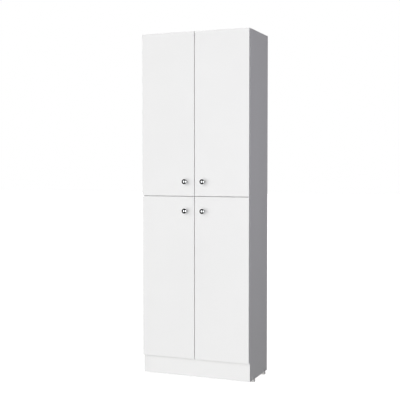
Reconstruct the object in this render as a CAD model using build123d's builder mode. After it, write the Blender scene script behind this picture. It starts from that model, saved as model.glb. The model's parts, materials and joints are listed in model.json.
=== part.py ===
from build123d import *
import math
import os

# Tall two-column storage cabinet: coated board carcass, four doors on
# concealed hinges, round metal knobs, nail-on plastic feet.
# Millimetres, +Z up, the doors face -Y, the feet stand on Z = 0.

os.makedirs("parts", exist_ok=True)

# ---------------------------------------------------------------- main sizes
cabinet_width = 600.0
side_height = 1800.0
side_depth = 287.0
board = 15.0                # thickness of every coated board
back_thickness = 3.0
plinth_height = 100.0
door_thickness = 15.0
door_gap = 1.5              # behind the closed doors
between_doors = 3.0
outer_reveal = 1.0          # side panel seen beside a closed door
door_drop = 3.0             # doors reach this far below the bottom panel
board_edge = 0.4
door_edge = 0.8
fit = 0.05                  # radial clearance of pins and fittings in holes

# knobs
knob_radius = 13.5
knob_projection = 25.0
knob_dome = 23.5            # sphere that the face belongs to
knob_face = 13.2            # radius where the face meets the rim
knob_rim = 1.4              # thickness of the rounded rim
knob_throat = 7.2           # radius two thirds of the way from the neck to the rim
knob_neck = 5.4
knob_neck_height = 8.0      # of the narrowest place, from the door
knob_foot = 8.0
knob_foot_height = 1.0
knob_inset = 48.3           # from the free edge of the door
knob_from_split = 75.0      # from the edge where the two door rows meet
knob_screw_radius = 2.0
knob_screw_head = 4.0
knob_screw_head_height = 2.4
knob_screw_reach = 10.0     # of thread inside the knob
knob_hole_spare = 1.5       # of hole beyond the screw's tip

# feet
foot_height = 11.0
foot_width = 20.0
foot_outside = 7.0
foot_cover = 13.0
foot_ear_height = 14.0
foot_ear_thickness = 3.5
foot_slope = 3.0            # the outer ledge slopes this far about the board's edge
foot_ear_round = 7.0
foot_corner = 1.2
foot_chamfer = 0.8
foot_front_inset = 48.0
foot_rear_inset = 45.0
foot_nail_radius = 1.2
foot_nail_head = 3.2
foot_nail_head_height = 1.2
foot_nail_depth = 11.0

# back panel nails
nail_radius = 0.8
nail_head = 2.1
nail_head_height = 0.8
nail_depth = 13.0
nail_pitch = 150.0
back_margin = 1.5

# system holes and shelf supports
hole_pitch = 32.0
hole_inset = 37.0
pin_radius = 2.5
pin_depth = 9.0
pin_reach = 8.0
pin_head = 3.4
shelf_side_gap = 1.0
shelf_setback = 15.0
shelf_back_gap = 2.0
shelves_per_bay = 2

# connectors
dowel_radius = 4.0
dowel_in_side = 10.0
dowel_in_board = 20.0
dowel_end_gap = 0.5
dowel_chamfer = 1.0
cam_radius = 7.5
cam_depth = 12.5
cam_from_end = 24.0
cam_slot_depth = 2.0
bolt_radius = 2.5
bolt_in_side = 10.0
bolt_bore = 3.6
bolt_collar = 2.0
bolt_shaft = 2.0
bolt_head = 3.0
cam_inset = 60.0
dowel_inset = 92.0
plinth_dowel_inset = 22.0

# hinges: u runs inward from the outer side face, v forward from the carcass
hinge_inset = 100.0         # from the top and bottom edges of the door
cup_radius = 17.5
cup_depth = 11.5
cup_from_edge = 21.5
cup_wall = 1.1
cup_floor = 0.6
cup_flange = 1.0
cup_ear_reach = 29.0
cup_ear_width = 15.0
cup_ear_start = 2.0         # from the cup's centre line
cup_ear_corner = 4.0
cup_screw_offset = 9.5
cup_screw_spacing = 45.0
cup_screw_radius = 1.75
cup_screw_depth = 10.0
cup_screw_head = 3.1
cup_screw_head_height = 1.8
link_pivot_side = (24.48, 6.99)
link_pivot_door = (9.96, 6.29)
link_bend = (15.2, 10.5)
link_corner = (25.8, 9.7)
link_half_width = 4.0
link_thickness = 2.2
link_eye_door = 2.3
link_eye_side = 3.0
pivot_door_radius = 1.2
pivot_side_radius = 1.5
arm_cheek = 1.7
arm_clearance = 0.3
arm_nose_half = 3.0
arm_nose_length = 20.0
arm_nose_play = 0.8         # round the turning eye of the link
arm_channel_end = 10.0
arm_skirt = 5.0             # open height between the board and the arm
arm_back = 72.0
arm_sheet = 1.5
plate_height = 12.0
plate_half_width = 6.0
plate_front = 24.0
plate_front_slope = 2.0
plate_back = 70.0
wing_thickness = 2.0
wing_reach = 24.0
wing_width = 12.0
wing_corner = 3.6
plate_screw_radius = 2.5
plate_screw_head = 3.8
plate_screw_head_height = 2.4
plate_screw_depth = 11.0
arm_screw_radius = 2.0
arm_screw_head = 4.0
arm_screw_head_height = 2.0
arm_screw_reach = 7.2       # of thread inside the plate
arm_screw_hole = 8.4
arm_screw_spots = (34.0, 56.0)

# door buffers
buffer_radius = 3.0
buffer_thickness = 1.4
buffer_inset = 12.0
buffer_from_end = 0.5       # between a buffer and the end of its door
buffer_round = 0.6

# wall bracket
bracket_leg = 32.0
bracket_width = 20.0
bracket_sheet = 2.0
bracket_corner = 4.0
bracket_hole = 2.75
bracket_hole_drop = 20.0     # below the top panel
back_hole = 4.0
bracket_screw_radius = 2.0
bracket_screw_head = 3.8
bracket_screw_head_height = 2.2
bracket_screw_reach = 10.0
bracket_screw_depth = 11.0

# ---------------------------------------------------------- derived positions
half_width = cabinet_width / 2
inner_x = half_width - board
inner_width = cabinet_width - 2 * board
top_z = foot_height + side_height
total_depth = (knob_projection + door_thickness + door_gap + side_depth
               + back_thickness + nail_head_height)
carcass_front = -total_depth / 2 + knob_projection + door_thickness + door_gap
carcass_back = carcass_front + side_depth
carcass_mid = carcass_front + side_depth / 2
door_back = carcass_front - door_gap
door_front = door_back - door_thickness

bottom_z = foot_height + plinth_height
door_bottom = bottom_z - door_drop
door_height = (top_z - door_bottom - between_doors) / 2
door_width = half_width - outer_reveal - between_doors / 2
split_z = door_bottom + door_height + between_doors / 2
middle_z = split_z - board / 2
door_base = {"lower": door_bottom, "upper": split_z + between_doors / 2}
hands = {"left": -1, "right": 1}
board_levels = (bottom_z, middle_z, top_z - board)

cup_u = outer_reveal + cup_from_edge
rows = {row: (base + hinge_inset, base + door_height - hinge_inset)
        for row, base in door_base.items()}
hinge_levels = rows["lower"] + rows["upper"]

bays = ((bottom_z + board, middle_z), (middle_z + board, top_z - board))
shelf_levels = [low + (high - low) * (i + 1) / (shelves_per_bay + 1)
                for low, high in bays for i in range(shelves_per_bay)]
pin_levels = [z - pin_head for z in shelf_levels]
pin_columns = (carcass_front + hole_inset, carcass_back - hole_inset)
cam_columns = (carcass_front + cam_inset, carcass_back - cam_inset)
dowel_columns = (carcass_front + dowel_inset, carcass_back - dowel_inset)
plinth_mid_y = carcass_front + board / 2
plinth_mid_z = foot_height + plinth_height / 2
plinth_dowel_levels = (foot_height + plinth_dowel_inset,
                       bottom_z - plinth_dowel_inset)

bracket_hole_z = top_z - board - bracket_hole_drop


def spread(low, high, pitch):
    # Evenly spaced positions from low to high, at most one pitch apart.
    count = max(2, math.ceil((high - low) / pitch) + 1)
    return [low + (high - low) * i / (count - 1) for i in range(count)]


def plan(hand, u, v):
    # Hinge coordinates of one side turned into X and Y.
    return (hand * (half_width - u), carcass_front - v)


def side_face(hand, inset=0.0):
    # Plane lying on the inner face of a side panel, local x = Y, y = Z.
    x_dir = (0, -hand, 0)
    return Plane(origin=(hand * (inner_x - inset), 0, 0), x_dir=x_dir,
                 z_dir=(-hand, 0, 0))


def on_side(hand, points):
    # (Y, Z) points written in the local axes of side_face.
    return [(-hand * y, z) for y, z in points]


# nail lines of the back panels
edge_x = half_width - board / 2
upper_edge = top_z - board / 2
lower_edge = bottom_z + board / 2
split_rows = (split_z - board / 4, split_z + board / 4)
side_nails = {"lower": spread(lower_edge, split_rows[0], nail_pitch),
              "upper": spread(split_rows[1], upper_edge, nail_pitch)}
cross_nails = spread(-edge_x, edge_x, nail_pitch)[1:-1]
nail_rows = {"lower": (lower_edge, split_rows[0]),
             "upper": (split_rows[1], upper_edge)}
nail_points = {
    row: [(x, z) for x in (-edge_x, edge_x) for z in side_nails[row]]
    + [(x, z) for x in cross_nails for z in nail_rows[row]]
    for row in ("lower", "upper")}
behind = Plane(origin=(0, carcass_back, 0), x_dir=(-1, 0, 0), z_dir=(0, 1, 0))

# feet positions along Y
foot_y = {"front": carcass_front + foot_front_inset + foot_width / 2,
          "rear": carcass_back - foot_rear_inset - foot_width / 2}
ear_nail_z = foot_height + foot_ear_height / 2

# ------------------------------------------------------------- side panels
system_holes = [(y, z + step * hole_pitch) for y in pin_columns
                for z in pin_levels for step in (-1, 0, 1)]
plate_holes = [(carcass_front + hole_inset, z + step)
               for z in hinge_levels for step in (-hole_pitch / 2, hole_pitch / 2)]
bolt_holes = ([(y, z + board / 2) for y in cam_columns for z in board_levels]
              + [(plinth_mid_y, plinth_mid_z)])
dowel_holes = ([(y, z + board / 2) for y in dowel_columns for z in board_levels]
               + [(plinth_mid_y, z) for z in plinth_dowel_levels])

for side, hand in hands.items():
    with BuildPart() as side_panel:
        with BuildSketch(Plane.XY.offset(foot_height)):
            with Locations((hand * (half_width - board / 2), carcass_mid)):
                Rectangle(board, side_depth)
        extrude(amount=side_height)
        chamfer(side_panel.edges().filter_by(Axis.Z), board_edge)
        with BuildSketch(side_face(hand)):
            with Locations(*on_side(hand, system_holes + plate_holes)):
                Circle(pin_radius + fit)
        extrude(amount=-(plate_screw_depth + dowel_end_gap), mode=Mode.SUBTRACT)
        with BuildSketch(side_face(hand)):
            with Locations(*on_side(hand, bolt_holes)):
                Circle(bolt_radius + fit)
            with Locations(*on_side(hand, dowel_holes)):
                Circle(dowel_radius + fit)
        extrude(amount=-(dowel_in_side + dowel_end_gap), mode=Mode.SUBTRACT)
        with BuildSketch(behind):
            with Locations(*[(-hand * edge_x, z) for row in side_nails.values()
                             for z in row]):
                Circle(nail_radius)
        extrude(amount=-nail_depth, mode=Mode.SUBTRACT)
        with BuildSketch(side_face(hand, -board)):
            with Locations(*on_side(hand, [(y, ear_nail_z) for y in foot_y.values()])):
                Circle(foot_nail_radius)
        extrude(amount=foot_nail_depth, mode=Mode.SUBTRACT)
    side_panel.part.label = f"side_panel_{side}"
    export_step(side_panel.part, f"parts/side_panel_{side}.step")

# ------------------------------------------------- boards between the sides
fixed_boards = {"bottom_panel": board_levels[0], "middle_shelf": board_levels[1],
                "top_panel": board_levels[2]}
board_nail_levels = {"bottom_panel": (lower_edge,), "middle_shelf": split_rows,
                     "top_panel": (upper_edge,)}
cam_x = inner_x - cam_from_end

for name, z in fixed_boards.items():
    with BuildPart() as fixed_board:
        with BuildSketch(Plane.XY.offset(z)):
            with Locations((0, carcass_mid)):
                Rectangle(inner_width, side_depth)
        extrude(amount=board)
        chamfer(fixed_board.edges().filter_by(Axis.X), board_edge)
        with BuildSketch(Plane.XY.offset(z)):
            with Locations(*[(s * cam_x, y) for s in (-1, 1) for y in cam_columns]):
                Circle(cam_radius)
        extrude(amount=cam_depth, mode=Mode.SUBTRACT)
        for hand in hands.values():
            with BuildSketch(side_face(hand)):
                with Locations(*on_side(hand, [(y, z + board / 2) for y in cam_columns])):
                    Circle(bolt_bore + fit)
            extrude(amount=cam_from_end, mode=Mode.SUBTRACT)
            with BuildSketch(side_face(hand)):
                with Locations(*on_side(hand, [(y, z + board / 2)
                                               for y in dowel_columns])):
                    Circle(dowel_radius + fit)
            extrude(amount=dowel_in_board + dowel_end_gap, mode=Mode.SUBTRACT)
        with BuildSketch(behind):
            with Locations(*[(x, level) for x in cross_nails
                             for level in board_nail_levels[name]]):
                Circle(nail_radius)
        extrude(amount=-nail_depth, mode=Mode.SUBTRACT)
        if name == "top_panel":
            with BuildSketch(Plane.XY.offset(z)):
                with Locations((0, carcass_back - bracket_leg / 2)):
                    Circle(bracket_screw_radius)
            extrude(amount=bracket_screw_depth, mode=Mode.SUBTRACT)
    fixed_board.part.label = name
    export_step(fixed_board.part, f"parts/{name}.step")

# --------------------------------------------------------- adjustable shelves
shelf_depth = side_depth - shelf_setback - shelf_back_gap
shelf_names = [f"shelf_{row}_{spot}" for row in ("lower", "upper")
               for spot in range(1, shelves_per_bay + 1)]
for name, z in zip(shelf_names, shelf_levels):
    with BuildPart() as shelf:
        with BuildSketch(Plane.XY.offset(z)):
            with Locations((0, carcass_front + shelf_setback + shelf_depth / 2)):
                Rectangle(inner_width - 2 * shelf_side_gap, shelf_depth)
        extrude(amount=board)
        chamfer(shelf.edges().filter_by(Axis.X), board_edge)
    shelf.part.label = name
    export_step(shelf.part, f"parts/{name}.step")

# ---------------------------------------------------------------------- plinth
with BuildPart() as plinth:
    with BuildSketch(Plane.XY.offset(foot_height)):
        with Locations((0, plinth_mid_y)):
            Rectangle(inner_width, board)
    extrude(amount=plinth_height)
    chamfer(plinth.edges().filter_by(Axis.X), board_edge)
    with BuildSketch(Plane(origin=(0, carcass_front + board, 0), x_dir=(-1, 0, 0),
                           z_dir=(0, 1, 0))):
        with Locations((-cam_x, plinth_mid_z), (cam_x, plinth_mid_z)):
            Circle(cam_radius)
    extrude(amount=-cam_depth, mode=Mode.SUBTRACT)
    for hand in hands.values():
        with BuildSketch(side_face(hand)):
            with Locations(*on_side(hand, [(plinth_mid_y, plinth_mid_z)])):
                Circle(bolt_bore + fit)
        extrude(amount=cam_from_end, mode=Mode.SUBTRACT)
        with BuildSketch(side_face(hand)):
            with Locations(*on_side(hand, [(plinth_mid_y, z)
                                           for z in plinth_dowel_levels])):
                Circle(dowel_radius + fit)
        extrude(amount=dowel_in_board + dowel_end_gap, mode=Mode.SUBTRACT)
plinth.part.label = "plinth"
export_step(plinth.part, "parts/plinth.step")

# ----------------------------------------------------------------- back panels
back_spans = {"lower": (bottom_z, split_z - back_margin / 4),
              "upper": (split_z + back_margin / 4, top_z - back_margin)}
for row, (low, high) in back_spans.items():
    with BuildPart() as back_panel:
        with BuildSketch(behind):
            with Locations((0, (low + high) / 2)):
                Rectangle(cabinet_width - 2 * back_margin, high - low)
            with Locations(*[(-x, z) for x, z in nail_points[row]]):
                Circle(nail_radius, mode=Mode.SUBTRACT)
            if row == "upper":
                with Locations((0, bracket_hole_z)):
                    Circle(back_hole, mode=Mode.SUBTRACT)
        extrude(amount=back_thickness)
    back_panel.part.label = f"back_panel_{row}"
    export_step(back_panel.part, f"parts/back_panel_{row}.step")

with BuildPart() as back_nails:
    with BuildSketch(behind.offset(back_thickness)):
        with Locations(*[(-x, z) for row in nail_points.values() for x, z in row]):
            Circle(nail_radius)
    extrude(amount=-(back_thickness + nail_depth))
    with BuildSketch(behind.offset(back_thickness)):
        with Locations(*[(-x, z) for row in nail_points.values() for x, z in row]):
            Circle(nail_head)
    extrude(amount=nail_head_height, taper=20)
back_nails.part.label = "back_nails"
export_step(back_nails.part, "parts/back_nails.step")

# ---------------------------------------------------------------- wall bracket
under_top = top_z - board
with BuildPart() as wall_bracket:
    with BuildSketch(Plane.YZ.offset(-bracket_width / 2)):
        with Locations((carcass_back, under_top)):
            Rectangle(bracket_leg, bracket_sheet, align=(Align.MAX, Align.MAX))
            Rectangle(bracket_sheet, bracket_leg, align=(Align.MAX, Align.MAX))
    extrude(amount=bracket_width)
    fillet(wall_bracket.edges().filter_by(Axis.Z).group_by(Axis.Y)[0], bracket_corner)
    fillet(wall_bracket.edges().filter_by(Axis.Y).group_by(Axis.Z)[0], bracket_corner)
    with BuildSketch(behind):
        with Locations((0, bracket_hole_z)):
            Circle(bracket_hole)
    extrude(amount=-bracket_sheet, mode=Mode.SUBTRACT)
    with BuildSketch(Plane.XY.offset(under_top)):
        with Locations((0, carcass_back - bracket_leg / 2)):
            Circle(bracket_screw_radius + fit)
    extrude(amount=-bracket_sheet, mode=Mode.SUBTRACT)
wall_bracket.part.label = "wall_bracket"
export_step(wall_bracket.part, "parts/wall_bracket.step")


def screw(radius, depth, head_radius, head_height):
    # Pan head screw: the head stands on local Z = 0, the shank runs down.
    with BuildPart() as blank:
        with BuildSketch():
            Circle(head_radius)
        extrude(amount=head_height)
        fillet(blank.edges().group_by(Axis.Z)[-1], head_height * 0.6)
        with BuildSketch(Plane.XY.offset(head_height)):
            Rectangle(head_radius * 0.9, head_radius * 0.24)
            Rectangle(head_radius * 0.24, head_radius * 0.9)
        extrude(amount=-head_height * 0.5, mode=Mode.SUBTRACT)
        with BuildSketch():
            Circle(radius)
        extrude(amount=-depth)
        chamfer(blank.edges().group_by(Axis.Z)[0], radius * 0.6)
    return blank.part


def facing(point, direction, x_dir=(0, 0, 1)):
    # Location whose local +Z looks along the given direction.
    return Plane(origin=point, x_dir=x_dir, z_dir=direction).location


with BuildPart() as bracket_screw:
    with Locations(facing((0, carcass_back - bracket_leg / 2,
                           under_top - bracket_sheet), (0, 0, -1), (1, 0, 0))):
        add(screw(bracket_screw_radius, bracket_sheet + bracket_screw_reach,
                  bracket_screw_head, bracket_screw_head_height))
bracket_screw.part.label = "bracket_screw"
export_step(bracket_screw.part, "parts/bracket_screw.step")

# ------------------------------------------------------------------ connectors
with BuildPart() as shelf_pins:
    for hand in hands.values():
        points = on_side(hand, [(y, z) for y in pin_columns for z in pin_levels])
        with BuildSketch(side_face(hand)):
            with Locations(*points):
                Circle(pin_radius)
        extrude(amount=-pin_depth)
        with BuildSketch(side_face(hand)):
            with Locations(*points):
                Circle(pin_head)
        extrude(amount=pin_reach)
shelf_pins.part.label = "shelf_pins"
export_step(shelf_pins.part, "parts/shelf_pins.step")

with BuildPart() as wooden_dowels:
    for hand in hands.values():
        with BuildSketch(side_face(hand, -dowel_in_side)):
            with Locations(*on_side(hand, dowel_holes)):
                Circle(dowel_radius)
        extrude(amount=dowel_in_side + dowel_in_board)
    chamfer(wooden_dowels.edges().filter_by(GeomType.CIRCLE), dowel_chamfer)
wooden_dowels.part.label = "wooden_dowels"
export_step(wooden_dowels.part, "parts/wooden_dowels.step")

bolt_reach = cam_from_end + bolt_head * 0.6
with BuildPart() as cam_bolts:
    for hand in hands.values():
        sections = ((bolt_radius, -bolt_in_side, 0.0), (bolt_bore, 0.0, bolt_collar),
                    (bolt_shaft, bolt_collar, bolt_reach - bolt_head),
                    (bolt_head, bolt_reach - bolt_head, bolt_reach))
        for radius, start, stop in sections:
            with BuildSketch(side_face(hand, start)):
                with Locations(*on_side(hand, bolt_holes)):
                    Circle(radius)
            extrude(amount=stop - start)
cam_bolts.part.label = "cam_bolts"
export_step(cam_bolts.part, "parts/cam_bolts.step")

# One cam: local +Z is the visible face, the bolt comes in along local -X.
with BuildPart() as cam_blank:
    with BuildSketch(Plane.XY.offset(-cam_depth + fit)):
        Circle(cam_radius - fit)
    extrude(amount=cam_depth - 2 * fit)
    with BuildSketch(Plane.XY.offset(-board / 2 - bolt_bore)):
        with Locations((-cam_radius / 2 + bolt_head / 2, 0)):
            Rectangle(cam_radius + bolt_head + 1, 2 * bolt_bore)
    extrude(amount=2 * bolt_bore, mode=Mode.SUBTRACT)
    with BuildSketch():
        Rectangle(cam_radius * 1.1, cam_radius * 0.2)
        Rectangle(cam_radius * 0.2, cam_radius * 1.1)
    extrude(amount=-cam_slot_depth, mode=Mode.SUBTRACT)

with BuildPart() as cam_locks:
    for hand in hands.values():
        spots = [facing((hand * cam_x, y, z), (0, 0, -1), (-hand, 0, 0))
                 for y in cam_columns for z in board_levels]
        spots.append(facing((hand * cam_x, carcass_front + board, plinth_mid_z),
                            (0, 1, 0), (-hand, 0, 0)))
        with Locations(*spots):
            add(cam_blank.part)
cam_locks.part.label = "cam_locks"
export_step(cam_locks.part, "parts/cam_locks.step")

# ------------------------------------------------------------------------ feet
foot_profile = [(-foot_cover, 0), (-foot_cover, foot_height), (0, foot_height),
                (0, foot_height + foot_ear_height),
                (foot_ear_thickness, foot_height + foot_ear_height),
                (foot_ear_thickness, foot_height + foot_slope),
                (foot_outside, foot_height - foot_slope),
                (foot_outside, 0)]
for side, hand in hands.items():
    for end, y in foot_y.items():
        with BuildPart() as foot:
            with BuildSketch(Plane(origin=(hand * half_width, y - foot_width / 2, 0),
                                   x_dir=(1, 0, 0), z_dir=(0, -1, 0))):
                Polygon(*[(hand * x, z) for x, z in foot_profile], align=None)
            extrude(amount=-foot_width)
            fillet(foot.edges().filter_by(Axis.X).group_by(Axis.Z)[-1], foot_ear_round)
            fillet(foot.edges().filter_by(Axis.Z), foot_corner)
            chamfer(foot.faces().sort_by(Axis.Z)[0].edges(), foot_chamfer)
            with BuildSketch(side_face(hand, -board)):
                with Locations(*on_side(hand, [(y, ear_nail_z)])):
                    Circle(foot_nail_radius)
            extrude(amount=-foot_ear_thickness, mode=Mode.SUBTRACT)
        foot.part.label = f"foot_{end}_{side}"
        export_step(foot.part, f"parts/foot_{end}_{side}.step")

with BuildPart() as foot_nails:
    for hand in hands.values():
        ear_face = side_face(hand, -board - foot_ear_thickness)
        ear_points = on_side(hand, [(y, ear_nail_z) for y in foot_y.values()])
        with BuildSketch(ear_face):
            with Locations(*ear_points):
                Circle(foot_nail_radius)
        extrude(amount=foot_ear_thickness + foot_nail_depth)
        with BuildSketch(ear_face):
            with Locations(*ear_points):
                Circle(foot_nail_head)
        extrude(amount=-foot_nail_head_height, taper=25)
foot_nails.part.label = "foot_nails"
export_step(foot_nails.part, "parts/foot_nails.step")

# ---------------------------------------------------- fixed half of the hinges
with BuildPart() as hinge_plates:
    for hand in hands.values():
        for z in hinge_levels:
            with BuildSketch(Plane.XY.offset(z - plate_half_width)):
                Polygon(plan(hand, board, -plate_front),
                        plan(hand, board + plate_height, -plate_front - plate_front_slope),
                        plan(hand, board + plate_height, -plate_back),
                        plan(hand, board, -plate_back), align=None)
            extrude(amount=2 * plate_half_width)
            with BuildSketch(side_face(hand)):
                with Locations(*on_side(hand, [(carcass_front + hole_inset, z)])):
                    RectangleRounded(wing_width, 2 * wing_reach, wing_corner)
            extrude(amount=wing_thickness)
            with BuildSketch(side_face(hand)):
                with Locations(*on_side(hand, [(carcass_front + hole_inset, z + step)
                                               for step in (-hole_pitch / 2,
                                                            hole_pitch / 2)])):
                    Circle(plate_screw_radius + fit)
            extrude(amount=wing_thickness, mode=Mode.SUBTRACT)
            with BuildSketch(side_face(hand, plate_height)):
                with Locations(*on_side(hand, [(carcass_front + spot, z)
                                               for spot in arm_screw_spots])):
                    Circle(arm_screw_radius + fit)
            extrude(amount=-arm_screw_hole, mode=Mode.SUBTRACT)
hinge_plates.part.label = "hinge_plates"
export_step(hinge_plates.part, "parts/hinge_plates.step")

channel_half = plate_half_width + arm_clearance + arm_sheet
channel_top = board + plate_height + arm_sheet
nose_half = link_half_width + arm_clearance + arm_cheek
pivot_u, pivot_v = link_pivot_side
with BuildPart() as hinge_arms:
    for hand in hands.values():
        for z in hinge_levels:
            with BuildSketch(Plane.XY.offset(z - channel_half)):
                Polygon(plan(hand, board + arm_skirt, -arm_channel_end),
                        plan(hand, channel_top, -arm_channel_end),
                        plan(hand, channel_top, -arm_back),
                        plan(hand, board + arm_skirt, -arm_back), align=None)
            extrude(amount=2 * channel_half)
            with BuildSketch(Plane.XY.offset(z - channel_half + arm_sheet)):
                Polygon(plan(hand, board, -arm_nose_length),
                        plan(hand, channel_top - arm_sheet, -arm_nose_length),
                        plan(hand, channel_top - arm_sheet, -arm_back),
                        plan(hand, board, -arm_back), align=None)
            extrude(amount=2 * (channel_half - arm_sheet), mode=Mode.SUBTRACT)
            with BuildSketch(Plane.XY.offset(z - nose_half)):
                Polygon(plan(hand, pivot_u - arm_nose_half, pivot_v),
                        plan(hand, pivot_u + arm_nose_half, pivot_v),
                        plan(hand, pivot_u + arm_nose_half, -arm_nose_length),
                        plan(hand, pivot_u - arm_nose_half, -arm_nose_length),
                        align=None)
                with Locations(plan(hand, pivot_u, pivot_v)):
                    Circle(arm_nose_half)
            extrude(amount=2 * nose_half)
            with BuildSketch(Plane.XY.offset(z - link_half_width - arm_clearance)):
                with Locations(plan(hand, pivot_u, pivot_v)):
                    Rectangle(4 * arm_nose_half, 2 * (link_eye_side + arm_nose_play))
            extrude(amount=2 * (link_half_width + arm_clearance), mode=Mode.SUBTRACT)
            with BuildSketch(Plane.XY.offset(z - nose_half)):
                with Locations(plan(hand, pivot_u, pivot_v)):
                    Circle(pivot_side_radius)
            extrude(amount=2 * nose_half)
            with BuildSketch(side_face(hand, plate_height)):
                with Locations(*on_side(hand, [(carcass_front + spot, z)
                                               for spot in arm_screw_spots])):
                    Circle(arm_screw_radius + fit)
            extrude(amount=arm_sheet, mode=Mode.SUBTRACT)
hinge_arms.part.label = "hinge_arms"
export_step(hinge_arms.part, "parts/hinge_arms.step")

plate_screw = screw(plate_screw_radius, wing_thickness + plate_screw_depth,
                    plate_screw_head, plate_screw_head_height)
with BuildPart() as hinge_plate_screws:
    for hand in hands.values():
        with Locations(*[facing((hand * (inner_x - wing_thickness), y, z),
                                (-hand, 0, 0)) for y, z in plate_holes]):
            add(plate_screw)
hinge_plate_screws.part.label = "hinge_plate_screws"
export_step(hinge_plate_screws.part, "parts/hinge_plate_screws.step")

arm_screw = screw(arm_screw_radius, arm_sheet + arm_screw_reach, arm_screw_head,
                  arm_screw_head_height)
with BuildPart() as hinge_arm_screws:
    for hand in hands.values():
        with Locations(*[facing((hand * (half_width - channel_top),
                                 carcass_front + spot, z), (-hand, 0, 0))
                         for spot in arm_screw_spots for z in hinge_levels]):
            add(arm_screw)
hinge_arm_screws.part.label = "hinge_arm_screws"
export_step(hinge_arm_screws.part, "parts/hinge_arm_screws.step")


def bar_points(start, stop, half):
    # Four corners of a straight bar between two points.
    du = stop[0] - start[0]
    dv = stop[1] - start[1]
    length = math.hypot(du, dv)
    nu = -dv / length * half
    nv = du / length * half
    return [(start[0] + nu, start[1] + nv), (stop[0] + nu, stop[1] + nv),
            (stop[0] - nu, stop[1] - nv), (start[0] - nu, start[1] - nv)]


# ----------------------------------------------------------- doors and fittings
knob_levels = {"lower": door_base["lower"] + door_height - knob_from_split,
               "upper": door_base["upper"] + knob_from_split}
knob_x = between_doors / 2 + knob_inset
cup_inner = cup_radius - fit - cup_wall
buffer_level = buffer_from_end + buffer_radius
pin_half = math.sqrt(cup_inner ** 2 - (cup_u - link_pivot_door[0]) ** 2)
back_of_door = Plane(origin=(0, door_back, 0), x_dir=(-1, 0, 0), z_dir=(0, 1, 0))
knob_screw_blank = screw(knob_screw_radius, door_thickness + knob_screw_reach,
                         knob_screw_head, knob_screw_head_height)
cup_screw_blank = screw(cup_screw_radius, cup_flange + cup_screw_depth,
                        cup_screw_head, cup_screw_head_height)

# knob profile: distances are measured out from the door front
dome_angle = math.asin(knob_face / knob_dome)
dome_centre = knob_projection - knob_dome
face_edge = dome_centre + knob_dome * math.cos(dome_angle)
dome_middle = (knob_dome * math.sin(dome_angle / 2),
               -dome_centre - knob_dome * math.cos(dome_angle / 2))
rim_back = face_edge - knob_rim
throat_height = (knob_neck_height + 2 * rim_back) / 3

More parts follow.
